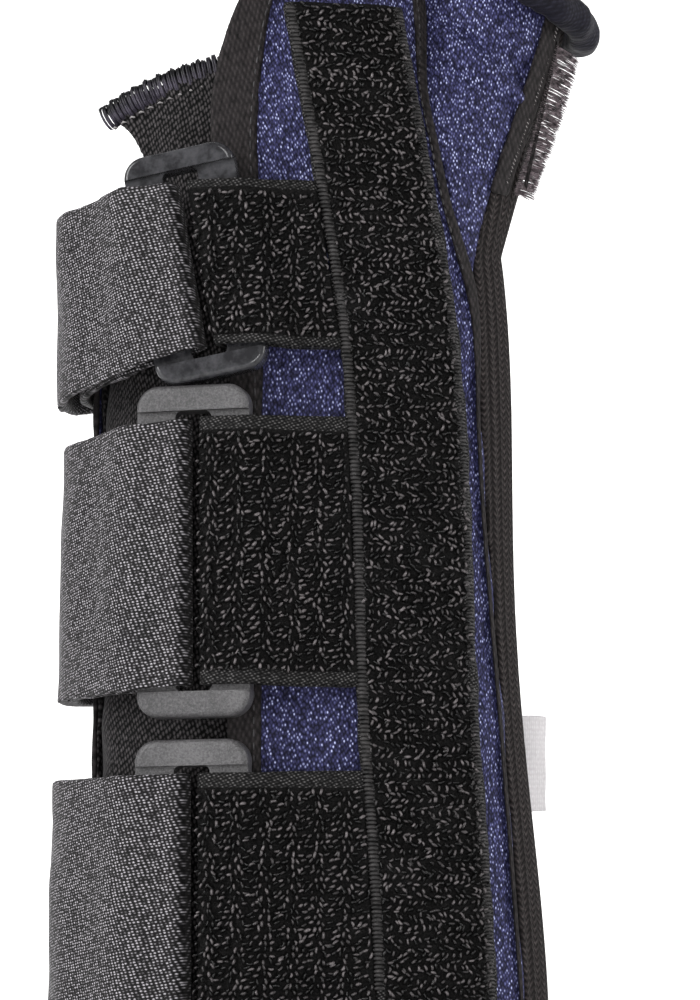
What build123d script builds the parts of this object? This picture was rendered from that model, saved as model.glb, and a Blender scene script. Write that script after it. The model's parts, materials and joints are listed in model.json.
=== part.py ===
from build123d import *
import math
import os

# A right-side wrist splint standing on its forearm hem, in millimetres.
# +Z runs from the forearm to the fingers, -Y is the front, +X is the thumb side.

# ---- the arm-shaped shell ----
SECTION_LEVELS = [-3, 60, 120, 155, 180, 205, 239]   # past both ends, so that every layer can be cut
SECTION_POINTS = 20
SQUARENESS = 2.4              # exponent of the superellipse section
LEFT_AT_HEM = -43.0           # little-finger side of the shell, at the hem
LEFT_SLOPE = 0.0095
RIGHT_AT_HEM = 47.0           # thumb side of the shell, at the hem
RIGHT_SLOPE = 0.05
STRAIGHT_FROM = 140.0         # above this level the thumb side stops tapering
HAND_NARROWING = 12.0         # how far the thumb side steps in above the wrist
NARROWING_FROM = 155.0
NARROWING_TO = 225.0
HALF_DEPTH_AT_HEM = 33.0
DEPTH_SLOPE = 0.0445

# ---- thicknesses ----
SHELL = 2.0
LINER = 1.2
TAPE = 0.9
TAPE_INSIDE = 3.2
TONGUE_OUT = -3.5             # the tongue lies inside the liner
TONGUE_IN = -6.2
STRIP_THICK = 3.4
LANDING = 1.4
POCKET_THICK = 4.2

# ---- thumb ----
THUMB_LEAN = 25.0             # degrees from vertical, toward +X
THUMB_TOP = (39.3, -2.0, 217.0)
THUMB_TOP_RADIUS = 14.0
THUMB_BASE_RADIUS = 23.0
THUMB_LENGTH = 56.0
COLLAR_RING_RADIUS = 15.0
COLLAR_RADIUS = 3.4
COLLAR_SHIFT = 2.5            # the roll hangs over toward +X

# ---- outlines, as (x, z) lines read from the front ----
FOOT = 0.8                    # the laminate stops this far above the hem's bottom
HEM = 9.0
FRONT_EDGE = [
    (-12.5, FOOT), (-12.5, 60), (-12.5, 130), (-13.4, 165), (-16.4, 190),
    (-14.2, 203), (-8.5, 217), (2, 228), (11, 230.5), (19, 227.5), (22.5, 221.5),
]
BACK_EDGE = [
    (-40.2, FOOT), (-40.2, 60), (-40, 120), (-39, 158), (-31, 178),
    (-17, 190), (-13, 203), (-8.5, 217), (2, 227), (11, 229.5), (19, 226.5), (22.5, 221.5),
]
VEE_LEFT = [(22.5, 221.5), (24.3, 208), (24.3, 196), (26.4, 184), (29, 172), (33, 160)]
VEE_RIGHT = [(33, 160), (37.5, 179), (45.5, 203), (48.3, 212.8)]
SIDE_SEAM = [(33, 160), (34.5, 130), (38.2, 77), (43.5, FOOT)]
FRONT_TAPE_WIDTHS = [5.2, 5.2, 5.2, 5.8, 8.0, 7.0, 4.4, 3.0, 3.0, 3.0, 2.6]
BACK_TAPE_WIDTH = 4.5
SEAM_TAPE_WIDTHS = [1.6, 2.2, 1.5, 1.4, 1.6, 2.2, 2.4, 2.4, 2.4]
THUMB_TAPE_WIDTH = 3.4
THUMB_TAPE_FOOT = 176.0
STRIP_LINE = [(25.6, 9.5), (24.5, 40), (22.1, 77), (20.9, 115), (18.3, 150), (14.0, 177), (8.0, 211)]
STRIP_HALF_WIDTH = 11.4
STAY_LINE = [(25.2, 18), (24.5, 40), (22.1, 77), (20.9, 115), (18.3, 150), (14.0, 177), (9.2, 204)]
FRONT_STAY_HALF_WIDTH = 7.0
FRONT_STAY_DEPTHS = (1.0, 2.2)
LANDING_X = (-28.0, 0.5)
LANDING_TOP = 181.0

# ---- back pocket and its straight removable stay ----
POCKET_X = 14.0
POCKET_HALF_WIDTH = 11.0
POCKET_TOP = 196.0
STAY_WIDTH = 14.0
STAY_THICK = 1.3
STAY_LENGTH = 180.0
STAY_FOOT = 19.0
STAY_CLEAR = 0.4
STAY_SIDE_TURN = -9.6         # degrees, so that the stay lies flat on the rounded back
STAY_DEPTH = 2.0              # from the shell to the middle of the stay

# ---- tongue flap, as rows of points from its root to its top edge ----
FLAP_ROWS = [
    [(-30.5, -13.0, 163), (-19, -18.0, 163), (-6, -19.0, 163)],
    [(-29.5, -13.5, 178), (-19, -18.0, 179), (-6, -18.8, 180)],
    [(-32.5, -13.5, 186), (-22, -17.6, 189), (-8, -18.2, 192)],
    [(-39.0, -12.5, 192.5), (-27, -16.8, 198.5), (-12, -17.6, 203)],
]
FLAP_THICK = 2.4
SERGE_RADIUS = 1.5

# ---- straps and their rings ----
ELASTIC = 1.6
PILE = 1.8
HOOK_TAB = 1.5
RING_BAR = 7.4                # width of each flat bar
RING_BAR_THICK = 2.6
RING_WINDOW = 7.0             # between the bars
RING_THICK = 4.8
RING_DEPTH = 5.0              # from the shell to the ring's mid-plane
RING_WALL = (4.9, 4.9, 4.0)   # depth of the two ends, strap 3 first
WINDOW_SPARE = 2.2
ELASTIC_ROOM = 2.8            # half height inside the elastic's fold
PILE_ROOM = 1.9
FOLD_CORNER = 1.0
PILE_SLACK = 0.7              # from a bar's inner edge to the fold round it
ELASTIC_SLACK = 1.0
# number, foot level, width, angle of the ring about the arm, tilt of the ring in degrees,
# how far the elastic's lower and upper edges droop toward the little-finger side, in degrees,
# and how much closer its outer layer lies to the arm at the side than the outer run says
STRAPS = [
    ("3", 12.4, 50.8, 111.0, 0.0, (2.0, 3.0), 1.4),
    ("2", 79.2, 50.8, 110.5, 0.0, (4.0, 8.0), 2.2),
    ("1", 143.5, 32.0, 110.0, 9.0, (15.0, 8.0), 0.0),
]
# runs about the arm, as (angle, depth from the shell to the band's middle)
OUTER_RUN = [(140, 6.6), (158, 6.9), (180, 6.6), (196, 6.2), (210, 4.8), (222, 3.6), (236, 2.55)]
CLOSER_SHARES = [0.3, 0.8, 1.0, 0.8, 0.1, 0.0, 0.0]   # of that closeness, at each point of the outer run
INNER_RUN = [(140, 2.6), (165, 2.3), (180, 2.2), (200, 2.4), (215, 2.3), (228, 0.9)]
TAB_RUN = [(237.5, 2.5), (245, 2.5), (254, 2.5), (263, 2.5)]
PILE_START = 95.0             # the anchor straps bend down to the shell from here
# depths of the anchor straps' two layers, as (share of the way back from the seam, depth)
UPPER_PILE = [(0.7, 5.4), (0.3, 3.7)]
LOWER_PILE = [(0.7, 2.0), (0.3, 1.3)]

# ---- care label in the side seam ----
LABEL_SIZE = (12.0, 0.5, 19.0)
LABEL_LEVEL = 66.0
LABEL_ANGLE = 327.0
LABEL_TURN = 22.0

# ---- hook strip beside the thumb ----
HOOK_STRIP = [(43.4, 179), (48.2, 177.5), (54.2, 203), (54.0, 207.5), (49.5, 206)]
HOOK_STRIP_DEPTHS = (-9.4, -8.4)


def section_size(level):
    """Centre X, half width and half depth of the shell's outside at one level."""
    share = min(1.0, max(0.0, (level - NARROWING_FROM) / (NARROWING_TO - NARROWING_FROM)))
    step = HAND_NARROWING * share * share * (3 - 2 * share)
    left = LEFT_AT_HEM + LEFT_SLOPE * level
    right = RIGHT_AT_HEM - RIGHT_SLOPE * min(level, STRAIGHT_FROM) - step
    return (left + right) / 2, (right - left) / 2, HALF_DEPTH_AT_HEM - DEPTH_SLOPE * level


def flattened(value):
    return math.copysign(abs(value) ** (2 / SQUARENESS), value)


def around(angle, offset, level):
    """A point at an angle about the arm (0 thumb side, 90 front), offset outward from the shell."""
    centre, half_width, half_depth = section_size(level)
    across = flattened(math.cos(math.radians(angle)))
    forward = flattened(math.sin(math.radians(angle)))
    return Vector(centre + (half_width + offset) * across, -(half_depth + offset) * forward, level)


def arm_solid(offset):
    """Everything inside the arm surface moved outward by the offset."""
    wires = []
    for level in SECTION_LEVELS:
        points = [around(360 * i / SECTION_POINTS, offset, level) for i in range(SECTION_POINTS)]
        wires.append(Wire([Edge.make_spline(points, periodic=True)]))
    return Solid.make_loft(wires)


def thumb_plane():
    """Plane across the thumb's opening, its normal along the thumb."""
    lean = math.radians(THUMB_LEAN)
    return Plane(origin=THUMB_TOP, x_dir=(0, 1, 0), z_dir=(math.sin(lean), 0, math.cos(lean)))


def thumb_solid(offset, extra=0.0):
    """The cone round the thumb, moved outward by the offset and longer at the top by the extra."""
    growth = (THUMB_BASE_RADIUS - THUMB_TOP_RADIUS) / THUMB_LENGTH
    top_radius = THUMB_TOP_RADIUS + offset - growth * extra
    cone = Cone(THUMB_BASE_RADIUS + offset, top_radius, THUMB_LENGTH + extra)
    return thumb_plane().location * Pos(0, 0, (extra - THUMB_LENGTH) / 2) * cone


def envelope(offset, extra=0.0):
    return arm_solid(offset) + thumb_solid(offset, extra)


def rim_level(x):
    """Height of the thumb's opening plane."""
    return THUMB_TOP[2] - (x - THUMB_TOP[0]) * math.tan(math.radians(THUMB_LEAN))


def smooth(points):
    """One edge through (x, z) points in the front plane."""
    corners = [Vector(x, 0, z) for x, z in points]
    if len(corners) == 2:
        return Edge.make_line(*corners)
    return Edge.make_spline(corners)


def beside(points, distance):
    """The same line moved sideways, to its left as it runs, by one distance or one for each point."""
    edge = smooth(points)
    distances = distance if isinstance(distance, list) else [distance] * len(points)
    moved = []
    for (x, z), step in zip(points, distances):
        along = edge.tangent_at(edge.param_at_point(Vector(x, 0, z)))
        moved.append((x - along.Z * step, z + along.X * step))
    return moved


def block(runs, near, far):
    """A block whose outline joins the smooth runs end to end, from depth near to depth far."""
    edges = []
    for run, following in zip(runs, runs[1:] + runs[:1]):
        edges.append(smooth(run))
        if math.dist(run[-1], following[0]) > 1e-6:
            edges.append(smooth([run[-1], following[0]]))
    face = Face(Wire(edges))
    return Pos(0, near, 0) * extrude(face, amount=far - near, dir=(0, 1, 0))


def front(*runs):
    return block(list(runs), -80, 0)


def back(*runs):
    return block(list(runs), 0, 80)


def slab(low, high):
    """Everything between two levels."""
    return Pos(0, 0, (low + high) / 2) * Box(300, 300, high - low)


def strip(points, half_width):
    """Two runs that outline a strip of one width, leaning and all."""
    left = [(x - half_width, z) for x, z in points]
    right = [(x + half_width, z) for x, z in points]
    return left, right[::-1]


def save(shape, node):
    solids = shape.solids()
    print(node, [round(solid.volume) for solid in solids])
    piece = max(solids, key=lambda solid: solid.volume)
    piece.label = node
    export_step(piece, f"parts/{node}.step")


def show_axis(joint, position, direction):
    """Print a joint's axis, for whoever writes down the joints."""
    print("AXIS", joint, *[round(v, 4) for v in position], *[round(v, 6) for v in direction.normalized()])


os.makedirs("parts", exist_ok=True)

# ---- shell: laminate panels and the lining ----
laminate = envelope(0) - envelope(-SHELL, 2)
lining = envelope(-SHELL) - envelope(-SHELL - LINER, 2)
rim = [(22.5, rim_level(22.5)), (48.3, rim_level(48.3))]
shell_front_panel = laminate & front(FRONT_EDGE, VEE_LEFT, SIDE_SEAM)
thumb_gusset = laminate & front(VEE_LEFT, VEE_RIGHT, rim[::-1])
knit_top = [VEE_RIGHT[-1], (80, rim_level(80))]
knit_runs = [SIDE_SEAM[::-1], VEE_RIGHT, knit_top, [(80, FOOT), SIDE_SEAM[-1]]]
side_knit_panel = laminate & block(knit_runs, -80, 80)
shell_back_panel = laminate & back(BACK_EDGE, rim, VEE_RIGHT[::-1], SIDE_SEAM)
front_gap = front(FRONT_EDGE, rim, [(80, rim_level(80)), (80, 300)], [(-80, 300), (-80, FOOT)])
back_gap = back(BACK_EDGE, rim, [(80, rim_level(80)), (80, 300)], [(-80, 300), (-80, FOOT)])
liner = lining - front_gap - back_gap - slab(-10, FOOT)
save(shell_front_panel, "shell_front_panel")
save(thumb_gusset, "thumb_gusset")
save(side_knit_panel, "side_knit_panel")
save(shell_back_panel, "shell_back_panel")
save(liner, "liner")

# ---- tapes over the free edges: a skin on the outside and a rim past the edge ----
arm_outside = arm_solid(0)
tape_skin = arm_solid(TAPE) - arm_outside
tape_rim = arm_solid(TAPE) - arm_solid(-TAPE_INSIDE)


def edge_tape(view, edge, inner):
    outer = beside(edge, TAPE)
    skin = tape_skin & view(edge, inner[::-1])
    lip = tape_rim & view(outer, edge[::-1])
    return ((skin + lip) & slab(HEM, 240)) - thumb_solid(0, 4)


front_tape_inner = beside(FRONT_EDGE, [-width for width in FRONT_TAPE_WIDTHS])
opening_binding = edge_tape(front, FRONT_EDGE, front_tape_inner) - shell_front_panel - thumb_gusset - liner
rear_edge_binding = edge_tape(back, BACK_EDGE, beside(BACK_EDGE, -BACK_TAPE_WIDTH))
rear_edge_binding = rear_edge_binding - shell_back_panel - thumb_gusset - liner
save(opening_binding, "opening_binding")
save(rear_edge_binding, "rear_edge_binding")

# ---- hem: skin, inside band and the flat foot that the splint stands on ----
hem_skin = tape_skin & slab(0, HEM)
hem_inside = (arm_solid(-TAPE_INSIDE) - arm_solid(-TAPE_INSIDE - TAPE)) & slab(0, HEM)
hem_foot = (arm_outside - arm_solid(-TAPE_INSIDE)) & slab(0, FOOT)
side_gap = [(-80, 300), (-80, -5)]
hem_front_gap = front([(-12.5, -5), (-12.5, 300)], side_gap)
hem_back_gap = back([(-40.2, -5), (-40.2, 300)], side_gap)
save((hem_skin + hem_inside + hem_foot) - hem_front_gap - hem_back_gap, "proximal_binding")

# ---- tongue with its flared flap and overlocked edge ----
tongue_layer = arm_solid(TONGUE_OUT) - arm_solid(TONGUE_IN)
tongue_front = front([(-60, 9.5), (-60, 158)], [(-31, 168), (3, 168)], [(6, 160), (6, 9.5)])
tongue_side = back([(-60, 9.5), (-60, 150)], [(-33.5, 150), (-33.5, 9.5)])
flap_face = Face.make_surface_from_array_of_points([[Vector(*p) for p in row] for row in FLAP_ROWS])
flap = Solid.thicken(flap_face, FLAP_THICK)
if flap.center().Y < flap_face.center().Y:
    flap = Solid.thicken(flap_face, -FLAP_THICK)
edge_points = [Vector(*p) + Vector(0, FLAP_THICK / 2, 0) for p in FLAP_ROWS[-1]]
edge_path = Edge.make_three_point_arc(*edge_points)
edge_section = Plane(origin=edge_points[0], z_dir=edge_path.tangent_at(0)) * Circle(SERGE_RADIUS)
serged_edge = sweep(edge_section, path=edge_path)
tongue_pad = (tongue_layer & tongue_front) + (tongue_layer & tongue_side) + flap
save(tongue_pad - serged_edge, "tongue_pad")
save(serged_edge, "tongue_serged_edge")

# ---- front strip with the stay sewn into it ----
stay_layer = arm_solid(FRONT_STAY_DEPTHS[1]) - arm_solid(FRONT_STAY_DEPTHS[0]) - thumb_solid(0)
stay_front = stay_layer & front(*strip(STAY_LINE, FRONT_STAY_HALF_WIDTH))
strip_layer = arm_solid(STRIP_THICK) - arm_outside - thumb_solid(0)
save((strip_layer & front(*strip(STRIP_LINE, STRIP_HALF_WIDTH))) - stay_front, "stay_pocket_front")
save(stay_front, "stay_front")

# ---- back: the pile that the hook tabs grip, and the pocket of the removable stay ----
landing_low = HEM + 0.5
landing_sides = [(LANDING_X[0], landing_low), (LANDING_X[0], LANDING_TOP)]
landing_far = [(LANDING_X[1], LANDING_TOP), (LANDING_X[1], landing_low)]
landing_strip = (arm_solid(LANDING) - arm_outside) & back(landing_sides, landing_far)
save(landing_strip - rear_edge_binding, "back_landing_strip")
pocket_left = POCKET_X - POCKET_HALF_WIDTH
pocket_right = POCKET_X + POCKET_HALF_WIDTH
pocket_near = [(pocket_left, landing_low), (pocket_left, POCKET_TOP)]
pocket_far = [(pocket_right, POCKET_TOP), (pocket_right, landing_low)]
pocket_wall = (arm_solid(POCKET_THICK) - arm_outside) & back(pocket_near, pocket_far)


def back_depth(level):
    """Y of the shell's outside at the back, behind the pocket's middle."""
    centre, half_width, half_depth = section_size(level)
    share = abs(POCKET_X - centre) / half_width
    return half_depth * (1 - share ** SQUARENESS) ** (1 / SQUARENESS)


def stay_plane():
    """Plane across the removable stay at its foot, its normal along the slide."""
    foot = Vector(POCKET_X, back_depth(STAY_FOOT) + STAY_DEPTH, STAY_FOOT)
    head = Vector(POCKET_X, back_depth(POCKET_TOP) + STAY_DEPTH, POCKET_TOP)
    turn = math.radians(STAY_SIDE_TURN)
    return Plane(origin=foot, x_dir=(math.cos(turn), math.sin(turn), 0), z_dir=head - foot)


def stay_bar(extra, below, length):
    thick = STAY_THICK + 2 * extra
    profile = RectangleRounded(STAY_WIDTH + 2 * extra, thick, thick * 0.45)
    return stay_plane().location * Pos(0, 0, -below) * extrude(profile, amount=length + below)


save(stay_bar(0, 0, STAY_LENGTH), "stay_back")
show_axis("stay_slide", stay_plane().origin, stay_plane().z_dir)
save(pocket_wall - stay_bar(STAY_CLEAR, STAY_CLEAR, STAY_LENGTH + 20), "stay_pocket_back")


# ---- straps, rings and hook tabs ----
def ring_frame(angle, level):
    """Origin on the ring's mid-plane, the direction toward the thumb side, and outward."""
    origin = around(angle, RING_DEPTH, level)
    along = (around(angle - 2, RING_DEPTH, level) - around(angle + 2, RING_DEPTH, level)).normalized()
    outward = along.cross(Vector(0, 0, 1))
    if outward.Y > 0:
        outward = -outward
    return origin, along, outward


def run_points(run, level, lift):
    return [around(angle, depth + lift, level) for angle, depth in run]


def fold_run(frame, wall, half_height, corner, side):
    """Edges of a fold: in along the top, round two corners and out along the bottom."""
    origin, along, outward = frame

    def at(s, n):
        return origin + along * s + outward * n

    diagonal = corner * (1 - math.sqrt(0.5))
    inner = wall - side * corner
    top = Edge.make_three_point_arc(
        at(inner, half_height),
        at(wall - side * diagonal, half_height - diagonal),
        at(wall, half_height - corner),
    )
    flat = Edge.make_line(at(wall, half_height - corner), at(wall, corner - half_height))
    bottom = Edge.make_three_point_arc(
        at(wall, corner - half_height),
        at(wall - side * diagonal, diagonal - half_height),
        at(inner, -half_height),
    )
    return [top, flat, bottom]


def folded_section(frame, wall, room, thick, side, upper, lower, level):
    """Outline of a band that comes in on the upper run, folds round a bar and leaves on the lower run."""
    origin, along, outward = frame
    clear_of_bar = -side * (RING_WINDOW / 2 + RING_BAR + 0.8)
    outside_fold = fold_run(frame, wall + side * thick, room + thick, FOLD_CORNER + thick, side)
    inside_fold = fold_run(frame, wall, room, FOLD_CORNER, side)

    def run(start, rest, lift, height):
        straight = [origin + along * s + outward * height for s in (clear_of_bar / 2, clear_of_bar)]
        return [start] + straight + run_points(rest, level, lift)

    upper_out = run(outside_fold[0].start_point(), upper, thick / 2, room + thick)
    upper_in = run(inside_fold[0].start_point(), upper, -thick / 2, room)
    lower_in = run(inside_fold[-1].end_point(), lower, thick / 2, -room)
    lower_out = run(outside_fold[-1].end_point(), lower, -thick / 2, -room - thick)
    return Wire(
        [
            Edge.make_spline(upper_out[::-1]),
            *outside_fold,
            Edge.make_spline(lower_out),
            Edge.make_line(lower_out[-1], lower_in[-1]),
            Edge.make_spline(lower_in[::-1]),
            *[edge.reversed() for edge in inside_fold[::-1]],
            Edge.make_spline(upper_in),
            Edge.make_line(upper_in[-1], upper_out[-1]),
        ]
    )


def flat_section(run, thick, level):
    outer = run_points(run, level, thick / 2)
    inner = run_points(run, level, -thick / 2)
    return Wire(
        [
            Edge.make_spline(outer),
            Edge.make_line(outer[-1], inner[-1]),
            Edge.make_spline(inner[::-1]),
            Edge.make_line(inner[0], outer[0]),
        ]
    )


def strip_edge_angle(level):
    """Angle about the arm where the front strip's near edge lies at one level."""
    spline = smooth([(x - STRIP_HALF_WIDTH, z) for x, z in STRIP_LINE])
    x = min((spline.position_at(i / 200) for i in range(201)), key=lambda p: abs(p.Z - level)).X
    centre, half_width, _ = section_size(level)
    share = abs(x - centre) / half_width
    return math.degrees(math.acos(math.copysign(share ** (SQUARENESS / 2), x - centre)))


right_wall = RING_WINDOW / 2 - PILE_SLACK
left_wall = -(RING_WINDOW / 2 - ELASTIC_SLACK)
for (number, foot, width, angle, tilt, droops, closer), wall_depth in zip(STRAPS, RING_WALL):
    levels = [foot, foot + width]
    outer_run = [(turn, depth - closer * share) for (turn, depth), share in zip(OUTER_RUN, CLOSER_SHARES)]
    tilt_shift = math.tan(math.radians(tilt)) * width / 2
    elastic_sections, pile_sections, tab_sections, origins, tab_levels = [], [], [], [], []
    for level, shift, droop in zip(levels, [tilt_shift, -tilt_shift], droops):
        origin, along, outward = ring_frame(angle, level)
        frame = (origin + along * shift, along, outward)
        origins.append(frame[0])
        section = folded_section(frame, left_wall, ELASTIC_ROOM, ELASTIC, 1, outer_run, INNER_RUN, level)
        elastic_sections.append(section.rotate(Axis(frame[0], (0, -1, 0)), droop))
        elastic_end = around(OUTER_RUN[-1][0], OUTER_RUN[-1][1], level)
        tab_levels.append(level - math.sin(math.radians(droop)) * (frame[0].X - elastic_end.X))
        seam = strip_edge_angle(level) + 0.7
        upper = [(seam + share * (PILE_START - seam), depth) for share, depth in UPPER_PILE]
        lower = [(seam + share * (PILE_START - seam), depth) for share, depth in LOWER_PILE]
        upper.append((seam, PILE * 1.5 + 0.1))
        lower.append((seam, PILE / 2))
        pile_sections.append(folded_section(frame, right_wall, PILE_ROOM, PILE, -1, upper, lower, level))
        tab_sections.append(flat_section(TAB_RUN, HOOK_TAB, tab_levels[-1]))
    elastic = Solid.make_loft(elastic_sections, ruled=True) - rear_edge_binding - shell_back_panel
    save(elastic, f"elastic_strap_{number}")
    save(Solid.make_loft(pile_sections, ruled=True), f"anchor_strap_{number}")
    save(Solid.make_loft(tab_sections, ruled=True), f"hook_tab_{number}")

    long_way = (origins[1] - origins[0]).normalized()
    across_way = (along - long_way * along.dot(long_way)).normalized()
    middle = (origins[0] + origins[1]) / 2
    ring_place = Plane(origin=middle, x_dir=across_way, z_dir=across_way.cross(long_way))
    lean = math.radians(tilt)
    window = width / math.cos(lean) + WINDOW_SPARE + 2 * RING_BAR * math.tan(lean)
    across = 2 * RING_BAR + RING_WINDOW
    body = extrude(RectangleRounded(across, window + 2 * wall_depth, 4.2), amount=RING_THICK / 2, both=True)
    body = fillet(body.faces().sort_by(Axis.Z)[-1].edges(), 1.1)
    body = fillet(body.faces().sort_by(Axis.Z)[0].edges(), 1.1)
    thinning = (RING_THICK - RING_BAR_THICK) / 2
    for side in (-1, 1):
        body -= Pos(0, 0, side * (RING_BAR_THICK + thinning) / 2) * Box(across + 2, window, thinning)
    body -= extrude(RectangleRounded(RING_WINDOW, window, 1.2), amount=RING_THICK, both=True)
    save(ring_place.location * body, f"strap_ring_{number}")
    pivot = ring_place.location * Pos((RING_WINDOW + RING_BAR) / 2, 0, 0)
    show_axis(f"ring_{number}_swing", pivot.position, long_way)
    seam_angle = (OUTER_RUN[-1][0] + TAB_RUN[0][0]) / 2
    low, high = [around(seam_angle, TAB_RUN[0][1] + HOOK_TAB / 2, level) for level in tab_levels]
    show_axis(f"tab_{number}_peel", (low + high) / 2, high - low)


# ---- thumb: tapes beside the V, hook strip and rolled collar ----
skin = envelope(TAPE) - envelope(0, 2)
seam_line = VEE_LEFT + SIDE_SEAM[1:]
seam_tape = skin & front(seam_line, beside(seam_line, [-w for w in SEAM_TAPE_WIDTHS])[::-1])
save(seam_tape & slab(HEM, 222), "seam_tape")
thumb_tape = skin & front(VEE_RIGHT[::-1], beside(VEE_RIGHT, -THUMB_TAPE_WIDTH))
save(thumb_tape & slab(THUMB_TAPE_FOOT, 240), "thumb_tape")
hook_near, hook_far = HOOK_STRIP_DEPTHS
hook_runs = [[a, b] for a, b in zip(HOOK_STRIP, HOOK_STRIP[1:] + HOOK_STRIP[:1])]
hook_strip = block(hook_runs, hook_near, hook_far)
save(hook_strip - thumb_solid(0) - thumb_tape, "thumb_hook_strip")
collar = Pos(COLLAR_SHIFT, 0, 0) * thumb_plane().location * Torus(COLLAR_RING_RADIUS, COLLAR_RADIUS)
save(collar - thumb_solid(TAPE) - arm_solid(0.3), "thumb_collar")

# ---- care label ----
label_root = around(LABEL_ANGLE, 0.1, LABEL_LEVEL)
label_place = Pos(label_root.X, label_root.Y, label_root.Z) * Rot(0, 0, LABEL_TURN)
label = label_place * Pos(LABEL_SIZE[0] / 2, 0, 0) * Box(*LABEL_SIZE)
save(label - arm_solid(0), "care_label")
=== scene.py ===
import json
import math

import bpy
import numpy as np
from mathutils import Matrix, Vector
from mathutils.bvhtree import BVHTree

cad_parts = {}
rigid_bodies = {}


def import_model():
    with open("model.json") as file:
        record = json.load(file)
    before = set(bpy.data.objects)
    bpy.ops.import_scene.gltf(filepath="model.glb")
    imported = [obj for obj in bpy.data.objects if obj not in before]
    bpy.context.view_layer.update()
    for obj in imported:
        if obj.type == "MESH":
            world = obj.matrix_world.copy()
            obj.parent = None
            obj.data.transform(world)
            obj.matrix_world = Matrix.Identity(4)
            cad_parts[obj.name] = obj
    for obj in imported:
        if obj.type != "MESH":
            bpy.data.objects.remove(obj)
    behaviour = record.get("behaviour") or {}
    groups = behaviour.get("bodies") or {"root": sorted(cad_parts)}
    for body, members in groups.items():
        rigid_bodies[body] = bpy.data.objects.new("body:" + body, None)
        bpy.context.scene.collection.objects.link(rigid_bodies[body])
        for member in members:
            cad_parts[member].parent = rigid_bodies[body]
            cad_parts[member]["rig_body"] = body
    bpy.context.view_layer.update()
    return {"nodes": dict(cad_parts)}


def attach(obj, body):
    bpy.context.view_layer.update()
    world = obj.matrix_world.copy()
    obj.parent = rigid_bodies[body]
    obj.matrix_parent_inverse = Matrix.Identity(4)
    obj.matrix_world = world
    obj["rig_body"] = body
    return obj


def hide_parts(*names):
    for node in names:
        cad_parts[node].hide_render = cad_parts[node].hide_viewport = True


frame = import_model()

MM = 0.001
FILL = 0.14 * MM              # makes up for what the remesh takes off, so that sewn pieces meet
RANDOM = np.random.default_rng(11)
WHOLE_TURNS = np.arange(-540, 541)     # degrees, past one turn each way so that a piece never splits
REACH = 0.09                  # rays start this far in front of or behind the arm's axis, in metres
SHEEN_SHARE = 0.15            # every cloth's sheen is cut to this share
COLLAR_CAP = 0.7 * MM         # the furthest that the cloth simulation may move a point of the collar
RING_PINCH = 0.3 * MM         # how far each face of a strap is taken in where it passes through its ring
SEAM_ROLL_LEVELS = [138, 162]  # millimetres: the seam tape narrows to a roll between these heights

# ---- the arm's section, as in the CAD source, in millimetres ----
SQUARENESS = 2.4
REFERENCE_LEVEL = 100.0
FRONT_STRIP_LINE = [(25.6, 9.5), (24.5, 40), (22.1, 77), (20.9, 115), (18.3, 150), (14.0, 177), (8.0, 211)]
FRONT_STRIP_HALF = 11.4
SEAM_LINE = [
    (22.5, 221.5), (24.3, 208), (24.3, 196), (26.4, 184), (29, 172), (33, 160),
    (34.5, 130), (38.2, 77), (43.5, 0.8),
]
THUMB_TAPE_LINE = [(33, 160), (37.5, 179), (45.5, 203), (48.3, 212.8)]
BACK_EDGE_LINE = [
    (-40.2, 9), (-40.2, 60), (-40, 120), (-39, 158), (-31, 178),
    (-17, 190), (-13, 203), (-8.5, 217), (2, 227), (11, 229.5), (19, 226.5), (22.5, 221.5),
]
SERGED_ARC = [(-39.0, -11.3, 192.5), (-27.0, -15.6, 198.5), (-12.0, -16.4, 203.0)]
FACING = ("thumb_gusset", "thumb_tape", "thumb_hook_strip", "care_label")
STRAPS = {"3": (12.4, 50.8), "2": (79.2, 50.8), "1": (143.5, 32.0)}


# ---------------------------------------------------------------- geometry helpers
def section_size(level):
    """Centre X, half width and half depth of the splint's shell at each level, in millimetres."""
    share = np.clip((level - 155.0) / 70.0, 0, 1)
    step = 12.0 * share * share * (3 - 2 * share)
    left = -43.0 + 0.0095 * level
    right = 47.0 - 0.05 * np.minimum(level, 140.0) - step
    return (left + right) / 2, (right - left) / 2, 33.0 - 0.0445 * level


def section_through(points):
    """Centre X, half width and half depth, in millimetres, of the section each point (metres) lies on."""
    centre, half_width, half_depth = section_size(points[:, 2] / MM)
    across = points[:, 0] / MM - centre
    forward = points[:, 1] / MM
    low, high = np.full(len(points), -14.0), np.full(len(points), 14.0)
    for _ in range(16):
        offset = (low + high) / 2
        size = np.abs(across / (half_width + offset)) ** SQUARENESS
        outside = size + np.abs(forward / (half_depth + offset)) ** SQUARENESS > 1
        low, high = np.where(outside, offset, low), np.where(outside, high, offset)
    return centre, half_width + offset, half_depth + offset


def arm_angle(points):
    """Angle about the arm of each point (metres): 0 thumb side, 90 front, 180 little-finger side."""
    centre, half_width, half_depth = section_through(points)
    across = (points[:, 0] / MM - centre) / half_width
    forward = -points[:, 1] / MM / half_depth
    across = np.sign(across) * np.abs(across) ** (SQUARENESS / 2)
    forward = np.sign(forward) * np.abs(forward) ** (SQUARENESS / 2)
    return np.degrees(np.arctan2(forward, across))


def arc_lengths():
    """Distance round the arm for each whole degree, in metres."""
    _, half_width, half_depth = section_size(np.array([REFERENCE_LEVEL]))
    angles = np.radians(WHOLE_TURNS)
    x = half_width * np.sign(np.cos(angles)) * np.abs(np.cos(angles)) ** (2 / SQUARENESS)
    y = half_depth * np.sign(np.sin(angles)) * np.abs(np.sin(angles)) ** (2 / SQUARENESS)
    steps = np.hypot(np.diff(x), np.diff(y))
    return np.concatenate([[0], np.cumsum(steps)]) * MM


ARC = arc_lengths()


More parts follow.
